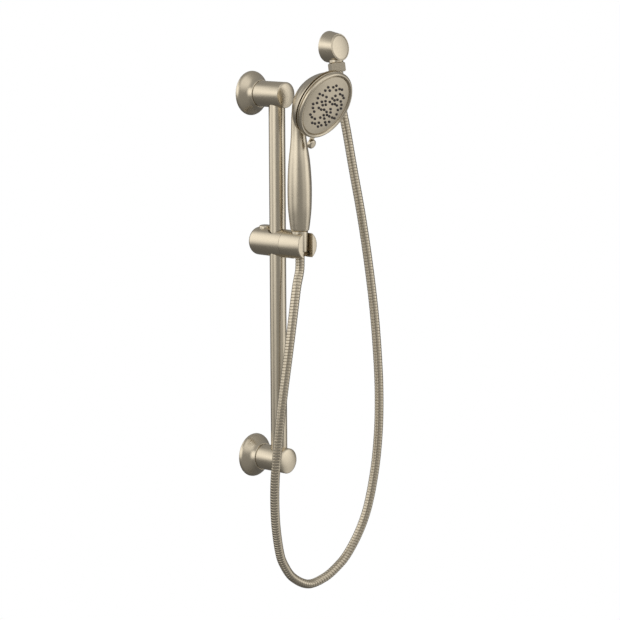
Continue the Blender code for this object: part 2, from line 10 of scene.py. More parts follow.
import bmesh
import bpy
import numpy as np
from mathutils import Matrix, Vector


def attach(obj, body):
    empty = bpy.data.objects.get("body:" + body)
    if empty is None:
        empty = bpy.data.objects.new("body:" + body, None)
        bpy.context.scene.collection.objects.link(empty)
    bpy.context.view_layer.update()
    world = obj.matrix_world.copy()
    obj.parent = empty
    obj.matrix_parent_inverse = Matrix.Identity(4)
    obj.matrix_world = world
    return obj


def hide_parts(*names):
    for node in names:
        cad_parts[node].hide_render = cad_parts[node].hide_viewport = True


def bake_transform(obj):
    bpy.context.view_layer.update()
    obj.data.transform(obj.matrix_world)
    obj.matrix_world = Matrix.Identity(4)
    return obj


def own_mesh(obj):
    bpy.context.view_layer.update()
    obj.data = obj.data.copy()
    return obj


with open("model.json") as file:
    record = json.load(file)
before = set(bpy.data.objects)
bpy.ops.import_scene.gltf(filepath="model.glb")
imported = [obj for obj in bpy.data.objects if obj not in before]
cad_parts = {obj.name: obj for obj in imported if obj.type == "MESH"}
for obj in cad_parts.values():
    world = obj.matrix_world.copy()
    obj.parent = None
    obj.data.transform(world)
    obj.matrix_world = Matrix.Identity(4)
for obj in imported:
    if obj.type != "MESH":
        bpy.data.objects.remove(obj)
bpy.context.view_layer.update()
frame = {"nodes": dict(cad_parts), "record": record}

MM = 0.001
GAP = 0.3

# Places of the main pieces, as in the solids
POST_SPACING = 560.0
BAR_STANDOFF = 54.0
BAR_RADIUS = 12.5
BAR_END = 8.0
POST_RADIUS = 19.5
POST_BACK = 4.4
POST_EDGE = 71.8
POST_DOME = 3.4
SLIDER_HEIGHT = -224.0
BARREL_RADIUS = 21.4
BARREL_BACK = 9.5
BARREL_FRONT = 74.4
CRADLE_FRONT = 115.2
BUSH_RADIUS = 14.6
BUTTON_STANDOFF = 28.2
BUTTON_RADIUS = 9.3
RECESS_FLOOR = 11.5
STEM_HOLE = 3.0
SHOE_HOLE = 6.3
SHOE_HOLE_BACK = 13.8
SCREW_HEAD_HOLE = 4.6
SCREW_HOLE = 2.7
SLOT_HALF_WIDTH = 11.0
HANDLE_STANDOFF = 99.5
HANDLE_BOTTOM = -202.0
HEAD_STANDOFF = 155.0
HEAD_HEIGHT = -12.4
HEAD_TILT = math.radians(23.5)
DOME_RADIUS = 56.5
DOME_CENTRE = 8.0
DOME_DROP = 3.0
SHELL_EDGE = -10.3
NUT_TOP_RADIUS = 12.3
NUT_BOTTOM_RADIUS = 11.3
NUT_TOP = -202.5
NUT_BOTTOM = -233.5
TAB_CENTRE = -65.2
TAB_RADIUS = 7.2
ELBOW_X = 177.3
ELBOW_HEIGHT = 62.1
ELBOW_BACK_RADIUS = 24.7
ELBOW_FRONT_RADIUS = 20.8
ELBOW_DEPTH = 24.8
ELBOW_DOME = 0.9
COLLAR_RADIUS = 11.2
OUTLET_STANDOFF = 16.2
OUTLET_HEIGHT = 37.6
OUTLET_TILT = math.radians(9.0)
WALL_NUT_FLATS = 23.5
WALL_NUT_LENGTH = 14.5
NUT_TURN = math.radians(-7.0)
FERRULE_LENGTH = 24.3
FERRULE_RADIUS = 9.0

# The hose: its outside, its winding and how finely it is drawn
HOSE_RADIUS = 7.0
HOSE_GROOVE = 0.6
HOSE_CREST = 0.07
HOSE_BAND = 0.82
HOSE_BAND_EDGE = 0.16
HOSE_PITCH = 4.6
HOSE_SIDES = 24
HOSE_RINGS_PER_TURN = 12

# Spray face: rings of nozzles as (radius, count, first angle, which of every four stays bare)
FACE_CROWN = 2.7
FACE_CURVE = 234.0
NOZZLE_RINGS = (
    (33.6, 12, 20, None),
    (31.2, 12, 1, None),
    (27.2, 12, 14, None),
    (19.5, 12, 2, 3),
    (14.0, 12, 15, 3),
    (8.2, 6, 30, None),
)

QUARTER = math.pi / 2

# Camera

CAMERA_PLACE = (-2.7022, -2.5738, 0.2713)
CAMERA_AZIMUTH = math.radians(-47.75)
CAMERA_PITCH = math.radians(9.21)
CAMERA_ROLL = math.radians(-0.264)
CAMERA_LENS = 142.8


def add_camera():
    data = bpy.data.cameras.new("camera")
    data.lens = CAMERA_LENS
    data.sensor_width = 36.0
    data.clip_end = 50.0
    camera = bpy.data.objects.new("camera", data)
    bpy.context.collection.objects.link(camera)
    camera.matrix_world = (
        Matrix.Translation(CAMERA_PLACE)
        @ Matrix.Rotation(CAMERA_AZIMUTH, 4, "Z")
        @ Matrix.Rotation(QUARTER - CAMERA_PITCH, 4, "X")
        @ Matrix.Rotation(CAMERA_ROLL, 4, "Z")
    )
    bpy.context.scene.camera = camera


# Materials


def new_material(name, colour, roughness, metallic=0.0):
    material = bpy.data.materials.new(name)
    material.use_nodes = True
    tree = material.node_tree
    shader = tree.nodes["Principled BSDF"]
    shader.inputs["Base Color"].default_value = (*colour, 1.0)
    shader.inputs["Roughness"].default_value = roughness
    shader.inputs["Metallic"].default_value = metallic
    return material, tree, shader


def noise(tree, scale, detail=2.0, stretch=(1, 1, 1)):
    """A noise over the object's own coordinates, in features per metre."""
    place = tree.nodes.new("ShaderNodeTexCoord")
    mapping = tree.nodes.new("ShaderNodeMapping")
    mapping.inputs["Scale"].default_value = stretch
    texture = tree.nodes.new("ShaderNodeTexNoise")
    texture.inputs["Scale"].default_value = scale
    texture.inputs["Detail"].default_value = detail
    tree.links.new(place.outputs["Object"], mapping.inputs["Vector"])
    tree.links.new(mapping.outputs["Vector"], texture.inputs["Vector"])
    return texture.outputs["Fac"]


def ramp(tree, value, low, high):
    """Two colours mixed by a value."""
    mix = tree.nodes.new("ShaderNodeValToRGB")
    mix.color_ramp.elements[0].position = 0.35
    mix.color_ramp.elements[1].position = 0.65
    mix.color_ramp.elements[0].color = (*low, 1.0)
    mix.color_ramp.elements[1].color = (*high, 1.0)
    tree.links.new(value, mix.inputs["Fac"])
    return mix.outputs["Color"]


def spread(tree, value, low, high):
    """A value mapped from the middle of its range to low..high."""
    node = tree.nodes.new("ShaderNodeMapRange")
    node.inputs["From Min"].default_value = 0.3
    node.inputs["From Max"].default_value = 0.7
    node.inputs["To Min"].default_value = low
    node.inputs["To Max"].default_value = high
    tree.links.new(value, node.inputs["Value"])
    return node.outputs["Result"]


def bumped(tree, shader, value, strength):
    bump = tree.nodes.new("ShaderNodeBump")
    bump.inputs["Strength"].default_value = strength
    bump.inputs["Distance"].default_value = 0.0001
    tree.links.new(value, bump.inputs["Height"])
    tree.links.new(bump.outputs["Normal"], shader.inputs["Normal"])


def satin_metal(name, low, high, roughness, grain=0.06, stretch=(1, 1, 1)):
    """Metal with a fine blasted or brushed grain, in colour, gloss and relief."""
    material, tree, shader = new_material(name, high, roughness, 1.0)
    fine = noise(tree, 2400, 2.0, stretch)
    broad = noise(tree, 420, 3.0, stretch)
    tree.links.new(ramp(tree, fine, low, high), shader.inputs["Base Color"])
    tree.links.new(
        spread(tree, broad, roughness - 0.035, roughness + 0.045), shader.inputs["Roughness"]
    )
    bumped(tree, shader, fine, grain)
    return material


# Painted shade in hollows: the pointiness where it is deepest and where it ends, and the share of colour
# left at its deepest
DEEP_GROOVE = 0.43
LEVEL_SURFACE = 0.50
GROOVE_SHADE = 0.35


def painted_groove_shade(material):
    """Darkens a metal where its surface is hollow: painted shade in the grooves between the hose's
    bands.
    """
    tree = material.node_tree
    shader = tree.nodes["Principled BSDF"]
    colour = shader.inputs["Base Color"].links[0].from_socket
    hollow = tree.nodes.new("ShaderNodeMapRange")
    hollow.inputs["From Min"].default_value = DEEP_GROOVE
    hollow.inputs["From Max"].default_value = LEVEL_SURFACE
    hollow.inputs["To Min"].default_value = GROOVE_SHADE
    shape = tree.nodes.new("ShaderNodeNewGeometry")
    tree.links.new(shape.outputs["Pointiness"], hollow.inputs["Value"])
    painted_shade = tree.nodes.new("ShaderNodeVectorMath")
    painted_shade.operation = "SCALE"
    tree.links.new(colour, painted_shade.inputs[0])
    tree.links.new(hollow.outputs["Result"], painted_shade.inputs["Scale"])
    tree.links.new(painted_shade.outputs["Vector"], shader.inputs["Base Color"])
    return material


def moulded(name, low, high, roughness, grain=0.2):
    """Plastic or rubber with a faint moulded texture."""
    material, tree, shader = new_material(name, high, roughness)
    fine = noise(tree, 1800, 3.0)
    tree.links.new(ramp(tree, fine, low, high), shader.inputs["Base Color"])
    tree.links.new(
        spread(tree, noise(tree, 300), roughness - 0.05, roughness + 0.05),
        shader.inputs["Roughness"],
    )
    bumped(tree, shader, fine, grain)
    return material


NICKEL_LOW = (0.60, 0.532, 0.422)
NICKEL_HIGH = (0.66, 0.592, 0.472)

MATERIALS = {
    "satin_nickel": satin_metal("satin_nickel", NICKEL_LOW, NICKEL_HIGH, 0.27),
    "brushed_bar": satin_metal(
        "brushed_bar", NICKEL_LOW, NICKEL_HIGH, 0.24, 0.08, (1, 1, 0.04)
    ),
    # The hose's metal, with painted shade in its grooves
    "hose_metal": painted_groove_shade(
        satin_metal("hose_metal", (0.50, 0.444, 0.353), (0.58, 0.519, 0.414), 0.26)
    ),
    "steel": satin_metal("steel", (0.45, 0.45, 0.44), (0.56, 0.56, 0.55), 0.33),
    "brass": satin_metal("brass", (0.55, 0.40, 0.17), (0.68, 0.52, 0.25), 0.36),
    "black_rubber": moulded("black_rubber", (0.034, 0.028, 0.032), (0.055, 0.046, 0.052), 0.36),
    "white_plastic": moulded("white_plastic", (0.66, 0.66, 0.64), (0.76, 0.76, 0.74), 0.45),
    "grey_plastic": moulded("grey_plastic", (0.07, 0.07, 0.072), (0.11, 0.11, 0.112), 0.5),
}
MATERIALS["nickel_on_plastic"] = MATERIALS["satin_nickel"]

# Shapes


def seat(x, y, z, turn=0.0):
    """A place in the frame, turned about X. A quarter turn points local Z out from the wall."""
    return Matrix.Translation(Vector((x, y, z)) * MM) @ Matrix.Rotation(turn, 4, "X")


UPPER_POST = seat(0, 0, 0, QUARTER)
LOWER_POST = seat(0, 0, -POST_SPACING, QUARTER)
BAR = seat(0, -BAR_STANDOFF, 0)
SLIDER = seat(0, 0, SLIDER_HEIGHT, QUARTER)
SLIDER_BAR = seat(0, -BAR_STANDOFF, SLIDER_HEIGHT)
BUTTON = seat(0, -BUTTON_STANDOFF, SLIDER_HEIGHT)
HANDLE = seat(0, -HANDLE_STANDOFF, 0)
HEAD = seat(0, -HEAD_STANDOFF, HEAD_HEIGHT, QUARTER + HEAD_TILT)
ELBOW = seat(ELBOW_X, 0, ELBOW_HEIGHT, QUARTER)
OUTLET = seat(ELBOW_X, -OUTLET_STANDOFF, OUTLET_HEIGHT, math.pi - OUTLET_TILT)


def rounded(outline, steps=5):
    """An outline of (radius, height, fillet) corners, each fillet drawn as a small curve."""
    points = []
    count = len(outline)
    for i, corner in enumerate(outline):
        here = Vector(corner[:2])
        fillet = corner[2] if len(corner) > 2 else 0.0
        if not fillet:
            points.append(tuple(here))
            continue
        back = Vector(outline[i - 1][:2]) - here
        on = Vector(outline[(i + 1) % count][:2]) - here
        start = here + back.normalized() * min(fillet, back.length * 0.49)
        end = here + on.normalized() * min(fillet, on.length * 0.49)
        for k in range(steps + 1):
            t = k / steps
            points.append(tuple((1 - t) ** 2 * start + 2 * t * (1 - t) * here + t * t * end))
    return points


def smooth_curve(points, steps=6):
    """Points on a smooth curve through a few chosen ones."""
    knots = [Vector(p) for p in points]
    curve = []
    for i in range(len(knots) - 1):
        before = knots[max(i - 1, 0)]
        a, b = knots[i], knots[i + 1]
        after = knots[min(i + 2, len(knots) - 1)]
        for k in range(steps):
            t = k / steps
            first = (b - before) * t
            second = (2 * before - 5 * a + 4 * b - after) * t**2
            third = (3 * a - before - 3 * b + after) * t**3
            curve.append(0.5 * (2 * a + first + second + third))
    curve.append(knots[-1])
    return curve


def lathe(profile, sides=96, bm=None, place=Matrix.Identity(4)):
    """A closed outline turned about Z; points on the axis become poles."""
    bm = bm or bmesh.new()
    rings = []
    for r, z in profile:
        if r < 1e-6:
            rings.append([bm.verts.new(place @ Vector((0, 0, z)))])
            continue
        turn = (2 * math.pi * k / sides for k in range(sides))
        rings.append(
            [bm.verts.new(place @ Vector((r * math.cos(a), r * math.sin(a), z))) for a in turn]
        )
    for low, high in zip(rings, rings[1:] + rings[:1]):
        for k in range(sides):
            m = (k + 1) % sides
            if len(low) == 1 and len(high) == 1:
                break
            if len(low) == 1:
                bm.faces.new((low[0], high[m], high[k]))
            elif len(high) == 1:
                bm.faces.new((low[k], low[m], high[0]))
            else:
                bm.faces.new((low[k], low[m], high[m], high[k]))
    return bm


def piece(name, bm, place, material, smooth_angle=35):
    """A mesh object from millimetre geometry, shaded smooth across small angles."""
    bmesh.ops.recalc_face_normals(bm, faces=bm.faces)
    bmesh.ops.scale(bm, vec=(MM, MM, MM), verts=bm.verts)
    mesh = bpy.data.meshes.new(name)
    bm.to_mesh(mesh)
    bm.free()
    mesh.shade_smooth()
    mesh.set_sharp_from_angle(angle=math.radians(smooth_angle))
    mesh.materials.append(MATERIALS[material])
    obj = bpy.data.objects.new(name, mesh)
    bpy.context.collection.objects.link(obj)
    obj.matrix_world = place
    return obj


def settled(obj, smooth_angle=35):
    """The object with its modifiers made into its mesh."""
    bpy.context.view_layer.update()
    view = bpy.context.evaluated_depsgraph_get()
    mesh = bpy.data.meshes.new_from_object(obj.evaluated_get(view))
    obj.modifiers.clear()
    obj.data = mesh
    mesh.shade_smooth()
    mesh.set_sharp_from_angle(angle=math.radians(smooth_angle))
    return obj


def carved(obj, *cutters, operation="DIFFERENCE"):
    """Cuts or joins each tool, a (geometry, place) pair, then settles the result."""
    tools = []
    for bm, place in cutters:
        tool = piece(f"{obj.name}_tool", bm, place, "steel")
        change = obj.modifiers.new("change", "BOOLEAN")
        change.object = tool
        change.operation = operation
        change.solver = "EXACT"
        tools.append(tool)
    settled(obj)
    for tool in tools:
        bpy.data.objects.remove(tool, do_unlink=True)
    return obj


def rod(radius, low, high, sides=64):
    return lathe([(0, low), (radius, low), (radius, high), (0, high)], sides)


def block(x, y, z):
    """A box from its (low, high) spans on local X, Y and Z."""
    bm = bmesh.new()
    bmesh.ops.create_cube(bm, size=1.0)
    for v in bm.verts:
        for axis, span in enumerate((x, y, z)):
            v.co[axis] = span[0] if v.co[axis] < 0 else span[1]
    return bm


def placed(obj, body, slot, *nodes):
    """Rides on its body and hides the solids it stands for."""
    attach(obj, body)
    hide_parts(*nodes)
    return obj


# The hose

# Its middle line in metres, from the wall elbow round to the handset
HOSE_ROUTE = [
    (0.1773, -0.0201, 0.0133),
    (0.1773, -0.0236, -0.0090),
    (0.1780, -0.0280, -0.0350),
    (0.1800, -0.0350, -0.0690),
    (0.1820, -0.0460, -0.1250),
    (0.1850, -0.0610, -0.2000),
    (0.1880, -0.0730, -0.2750),
    (0.1900, -0.0830, -0.3510),
    (0.1900, -0.0905, -0.4270),
    (0.1890, -0.0940, -0.4840),
    (0.1860, -0.0950, -0.5410),
    (0.1800, -0.0930, -0.5990),
    (0.1690, -0.0885, -0.6565),
    (0.1550, -0.0830, -0.6960),
    (0.1345, -0.0765, -0.7300),
    (0.1160, -0.0715, -0.7485),
    (0.0910, -0.0650, -0.7640),
    (0.0600, -0.0580, -0.7695),
    (0.0290, -0.0540, -0.7530),
    (0.0080, -0.0545, -0.7280),
    (-0.0050, -0.0580, -0.7050),
    (-0.0220, -0.0670, -0.6620),
    (-0.0330, -0.0750, -0.6210),
    (-0.0400, -0.0825, -0.5810),
    (-0.0430, -0.0890, -0.5460),
    (-0.0430, -0.0960, -0.4920),
    (-0.0400, -0.1005, -0.4460),
    (-0.0330, -0.1035, -0.3940),
    (-0.0270, -0.1045, -0.3580),
    (-0.0195, -0.1040, -0.3210),
    (-0.0105, -0.1020, -0.2860),
    (-0.0010, -0.0996, -0.2620),
    (0.0, -0.0995, -0.2374),
]

# The hose's stretches, each with the height where it starts on the left leg and the bodies it spans
HOSE_LEGS = (
    ("hose_loop", None, "wall_set", "carriage"),
    ("hose_lower_leg", -0.635, "carriage", "slider"),
    ("hose_upper_leg", -0.480, "slider", "cradle"),
    ("hose_top", -0.323, "cradle", "handset"),
)


def even_line(points, step):
    """A smooth curve through the points, in even steps of about the length asked for."""
    fine = np.array([tuple(p) for p in smooth_curve(points, 16)])
    reach = np.concatenate([[0], np.cumsum(np.linalg.norm(np.diff(fine, axis=0), axis=1))])
    count = max(2, round(reach[-1] / step) + 1)
    want = np.linspace(0, reach[-1], count)
    return np.column_stack([np.interp(want, reach, fine[:, k]) for k in range(3)])


def rib(turn):
    """How far the winding stands out at a share of its turn: a low crest and a narrow groove."""
    edge = np.abs((turn % 1.0) - 0.5) * 2
    return 1 - np.clip((edge - HOSE_BAND) / HOSE_BAND_EDGE, 0, 1) - HOSE_CREST * edge**2


def hose_surface(line):
    """Rings of points round the line, swollen by a helical winding, with no twist along it."""
    along = np.gradient(line, axis=0)
    along /= np.linalg.norm(along, axis=1)[:, None]
    side = np.cross(along[0], (0, 0, 1.0))
    if np.linalg.norm(side) < 1e-3:
        side = np.array((1.0, 0, 0))
    angles = 2 * math.pi * np.arange(HOSE_SIDES) / HOSE_SIDES
    rings = []
    for i, (centre, way) in enumerate(zip(line, along)):
        side = side - way * side.dot(way)
        side /= np.linalg.norm(side)
        other = np.cross(way, side)
        turn = i / HOSE_RINGS_PER_TURN - angles / (2 * math.pi)
        radius = (HOSE_RADIUS - HOSE_GROOVE * (1 - rib(turn))) * MM
        ring = np.cos(angles)[:, None] * side + np.sin(angles)[:, None] * other
        rings.append(centre + radius[:, None] * ring)
    return rings


def tube_mesh(name, rings, material):
    """A closed tube through rings of points already in metres."""
    bm = bmesh.new()
    loops = [[bm.verts.new(p) for p in ring] for ring in rings]
    for low, high in zip(loops, loops[1:]):
        for k in range(len(low)):
            m = (k + 1) % len(low)
            bm.faces.new((low[k], low[m], high[m], high[k]))
    bm.faces.new(loops[0])
    bm.faces.new(loops[-1])
    bmesh.ops.recalc_face_normals(bm, faces=bm.faces)
    mesh = bpy.data.meshes.new(name)
    bm.to_mesh(mesh)
    bm.free()
    mesh.shade_smooth()
    mesh.set_sharp_from_angle(angle=math.radians(28))
    mesh.materials.append(MATERIALS[material])
    obj = bpy.data.objects.new(name, mesh)
    bpy.context.collection.objects.link(obj)
    return obj


def add_hose():
    line = even_line(HOSE_ROUTE, HOSE_PITCH / HOSE_RINGS_PER_TURN * MM)
    rings = hose_surface(line)
    lowest = int(line[:, 2].argmin())
    rising = lowest + np.searchsorted(line[lowest:, 2], [leg[1] for leg in HOSE_LEGS[1:]])
    cuts = [0, *(int(c) for c in rising), len(line) - 1]
    for (name, low, a, b), start, end in zip(HOSE_LEGS, cuts, cuts[1:]):
        obj = tube_mesh(name, rings[start : end + 1], "hose_metal")
        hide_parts("shower_hose")
        if low is None:
            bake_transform(obj)
        else:
            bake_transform(obj)


# Wall posts and bar


def add_wall_mount(side, place, bar_end):
    """The flared cover at the wall and the post that holds the bar's end."""
    flare = [(33.0, 0.0), (33.5, 1.6), (33.1, 4.0), (31.5, 6.6), (28.8, 9.3)]
    neck = [(26.3, 11.8), (24.1, 14.3), (22.5, 17.0), (21.5, 20.0), (21.1, 21.4)]
    rim = smooth_curve(flare + neck)
    lip = rounded([(21.0, 21.7, 0.2), (20.4, 22.3, 0.4), (19.8, 22.2, 0.1)])
    inside = [(19.8, 20.9), (19.8, 11.0), (28.6, 4.6), (30.6, 0)]
    outline = [tuple(p) for p in rim] + lip + inside
    cover = piece(f"{side}_cover", lathe(outline, 128), place, "satin_nickel")
    placed(cover, "wall_set", "satin_nickel", f"{side}_escutcheon")

    dome = [
        (POST_RADIUS * math.cos(a), POST_EDGE + POST_DOME * math.sin(a))
        for a in (math.radians(6 * k) for k in range(15))
    ]
    outline = [(15.3, POST_BACK), (POST_RADIUS, POST_BACK)] + dome
    outline += [(0, POST_EDGE + POST_DOME), (0, 29.3), (15.3, 29.3)]
    post = piece(f"{side}_bar_post", lathe(outline, 128), place, "satin_nickel")
    low, high = sorted((bar_end + math.copysign(GAP, bar_end), -math.copysign(30, bar_end)))
    along_bar = Matrix.Rotation(-QUARTER, 4, "X")
    across = place @ Matrix.Translation((0, 0, BAR_STANDOFF * MM)) @ along_bar
    carved(post, (rod(BAR_RADIUS + GAP, low, high, 96), across))
    placed(post, "wall_set", "satin_nickel", f"{side}_post")


def add_bar():
    outline = rounded(
        [
            (BAR_RADIUS - 1.6, -POST_SPACING - BAR_END),
            (BAR_RADIUS, -POST_SPACING - BAR_END, 0.4),
            (BAR_RADIUS, BAR_END, 0.4),
            (BAR_RADIUS - 1.6, BAR_END),
        ]
    )
    bar = piece("round_bar", lathe(outline, 128), BAR, "brushed_bar")
    placed(bar, "wall_set", "satin_nickel", "slide_bar")


# Slider and cradle


def add_slider():
    outline = rounded(
        [
            (0, BARREL_BACK),
            (BARREL_RADIUS, BARREL_BACK, 9.0),
            (BARREL_RADIUS, BARREL_FRONT + 0.1, 0.15),
            (0, BARREL_FRONT + 0.1),
        ],
        10,
    )
    barrel = piece("slider_body", lathe(outline, 128), SLIDER, "satin_nickel")
    carved(
        barrel,
        (rod(BUSH_RADIUS + GAP, -30, 30, 96), SLIDER_BAR),
        (rod(BUTTON_RADIUS + GAP, RECESS_FLOOR, 30), BUTTON),
        (rod(STEM_HOLE, 2, RECESS_FLOOR + 1, 24), BUTTON),
        (rod(SHOE_HOLE, SHOE_HOLE_BACK, 44, 32), SLIDER),
        (rod(SCREW_HEAD_HOLE, 60, 71.5, 24), SLIDER),
        (rod(SCREW_HOLE, 60, 78, 24), SLIDER),
    )
    placed(barrel, "slider", "satin_nickel", "slider_barrel")

    crown = rounded(
        [
            (0, 25.5),
            (5.5, 25.2, 3.0),
            (BUTTON_RADIUS, 24.0, 2.0),
            (BUTTON_RADIUS, 15.5, 0.3),
            (7.3, 15.5),
            (7.3, 20.5),
            (2.6, 20.5),
            (2.6, 5.6),
            (1.6, 4.6),
            (0, 4.6),
        ]
    )
    button = piece("push_button", lathe(crown, 64), BUTTON, "satin_nickel")
    placed(button, "button", "nickel_on_plastic", "lock_button")


SPRING_TURNS = 4
SPRING_STEPS = 120


def add_spring(name, place, radius, wire, low, high):
    """A coil spring about the place's Z, from the low height to the high one."""
    rings = []
    for i in range(SPRING_STEPS + 1):
        a = 2 * math.pi * SPRING_TURNS * i / SPRING_STEPS
        z = low + wire + (high - low - 2 * wire) * i / SPRING_STEPS
        ring = []
        for b in (math.pi * k / 4 for k in range(8)):
            r = radius + wire * math.cos(b)
            point = Vector((r * math.cos(a), r * math.sin(a), z + wire * math.sin(b)))
            ring.append(place @ (point * MM))
        rings.append(ring)
    spring = tube_mesh(f"{name}_coil", rings, "steel")
    placed(spring, "slider", "steel", name)
    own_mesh(spring)


def add_springs():
    add_spring("button_spring", BUTTON, 5.0, 0.45, 11.8, 20.2)
    add_spring("shoe_spring", SLIDER, 4.2, 0.5, 14.1, 21.7)


def nut_radius(height):
    """The cone nut's outside radius at a height."""
    share = (NUT_TOP - height) / (NUT_TOP - NUT_BOTTOM)
    return NUT_TOP_RADIUS + (NUT_BOTTOM_RADIUS - NUT_TOP_RADIUS) * share


def add_cradle():
    """The slider's front end: a barrel with a tapered seat, open to the front as a fork."""
    outline = rounded(
        [
            (0, BARREL_FRONT + 0.3),
            (21.3, BARREL_FRONT + 0.3, 0.15),
            (21.3, CRADLE_FRONT, 1.8),
            (0, CRADLE_FRONT),
        ],
        6,
    )
    cradle = piece("fork_body", lathe(outline, 128), SLIDER, "satin_nickel")
    low, high = SLIDER_HEIGHT - 26, SLIDER_HEIGHT + 26
    cone = [(0, low), (nut_radius(low) + 0.4, low), (nut_radius(high) + 0.4, high), (0, high)]
    width = (-SLOT_HALF_WIDTH, SLOT_HALF_WIDTH)
    carved(
        cradle,
        (lathe(cone, 96), HANDLE),
        (block(width, (-26, 26), (HANDLE_STANDOFF, 122)), SLIDER),
        (rod(11.9, 70, BARREL_FRONT + 2.0, 48), SLIDER),
        (rod(2.6, 70, 85.4, 24), SLIDER),
    )
    placed(cradle, "cradle", "satin_nickel", "handset_cradle")


# Handset

# Up the handle and round into the head: (distance behind the handle's axis, height, radius)
HANDLE_LINE = [
    (0, -204, 13.7),
    (0, -197.5, 14.4),
    (0, -186, 15.9),
    (0, -168, 17.7),
    (0, -150, 18.25),
    (0, -132, 18.2),
    (0.2, -114, 17.4),
    (0.5, -96, 15.9),
    (1.0, -78, 13.5),
    (1.7, -60, 11.6),
    (1.8, -45, 11.1),
    (0.6, -30, 11.5),
    (-3.0, -16, 12.4),
    (-9.0, -4, 13.2),
    (-17.5, 5, 13.0),
    (-28.0, 10, 11.0),
]
NECK_FILLET = 7.0
BOTTOM_ROUND = 2.6
SKIN_CELL = 1.0
SLOPE_STEP = 0.2


def blended(a, b, width):
    """The lower of two distances, with a fillet of about the width where they meet."""
    h = np.clip(0.5 + 0.5 * (b - a) / width, 0, 1)
    return b + (a - b) * h - width * h * (1 - h)


def handset_distance(points, line, into_head):
    """How far points are outside the handset's skin: its domed head joined to its handle."""
    local = points @ into_head[:3, :3].T + into_head[:3, 3]
    sag = DOME_DROP * np.clip((SHELL_EDGE - local[:, 2]) / 9, 0, 1)
    sag = sag**2 * (3 * DOME_DROP - 2 * sag) / DOME_DROP**2
    dome = np.sqrt(local[:, 0] ** 2 + (local[:, 1] + sag) ** 2 + (local[:, 2] - DOME_CENTRE) ** 2)
    best = np.full(len(points), 1e9)
    for low, high in zip(line, line[1:]):
        run = high[:3] - low[:3]
        share = np.clip((points - low[:3]) @ run / run.dot(run), 0, 1)
        off = np.linalg.norm(points - low[:3] - share[:, None] * run, axis=1)
        best = np.minimum(best, off - low[3] - share * (high[3] - low[3]))
    foot = -blended(-best, -(HANDLE_BOTTOM - points[:, 2]), BOTTOM_ROUND)
    return blended(dome - DOME_RADIUS, foot, NECK_FILLET)


def drawn_to_skin(obj, distance, rounds=3):
    """Moves each point of a rough mesh onto the surface where the distance is nought."""
    mesh = obj.data
    points = np.array([v.co for v in mesh.vertices]) / MM
    for _ in range(rounds):
        here = distance(points)
        steps = SLOPE_STEP * np.eye(3)
        rises = [distance(points + step) - distance(points - step) for step in steps]
        slope = np.stack(rises, axis=1) / (2 * SLOPE_STEP)
        steep = np.maximum((slope**2).sum(1), 0.25)
        points -= (here / steep)[:, None] * slope
    mesh.vertices.foreach_set("co", (points * MM).ravel().astype(np.float32))
    mesh.update()


def add_handset_body():
    """Handle, neck and domed back as one smooth skin, cut flat behind the spray face."""
    curve = smooth_curve(HANDLE_LINE, 12)
    line = np.array([(0.0, y - HANDLE_STANDOFF, z, r) for y, z, r in curve])
    rough = bmesh.new()
    arc = [math.pi * k / 40 for k in range(41)]
    ball = [(DOME_RADIUS * math.sin(a), DOME_CENTRE - DOME_RADIUS * math.cos(a)) for a in arc]
    to_metres = Matrix.Diagonal((MM, MM, MM, 1))
    lathe(ball, 64, rough, to_metres.inverted() @ HEAD @ to_metres)
    for x, y, z, r in line[::4]:
        bead = [(r * math.sin(a), -r * math.cos(a)) for a in (math.pi * k / 12 for k in range(13))]
        lathe(bead, 24, rough, Matrix.Translation((x, y, z)))
    body = piece("handset_shell", rough, Matrix.Identity(4), "satin_nickel")
    remesh = body.modifiers.new("even", "REMESH")
    remesh.mode = "VOXEL"
    remesh.voxel_size = SKIN_CELL * MM
    settled(body)
    turn = np.array(HEAD.inverted())
    turn[:3, 3] /= MM
    drawn_to_skin(body, lambda points: handset_distance(points, line, turn))
    even = body.modifiers.new("even", "SMOOTH")
    even.factor = 0.5
    even.iterations = 8
    settled(body)
    front = rod(70, SHELL_EDGE, 90, 96)
    carved(body, (front, HEAD), (block((-40, 40), (-40, 40), (-240, HANDLE_BOTTOM)), HANDLE))
    body.data.materials.clear()
    body.data.materials.append(MATERIALS["satin_nickel"])
    placed(body, "handset", "nickel_on_plastic", "handset_body")


def face_height(r):
    """The spray face's gentle dome."""
    return FACE_CROWN - r * r / (2 * FACE_CURVE)


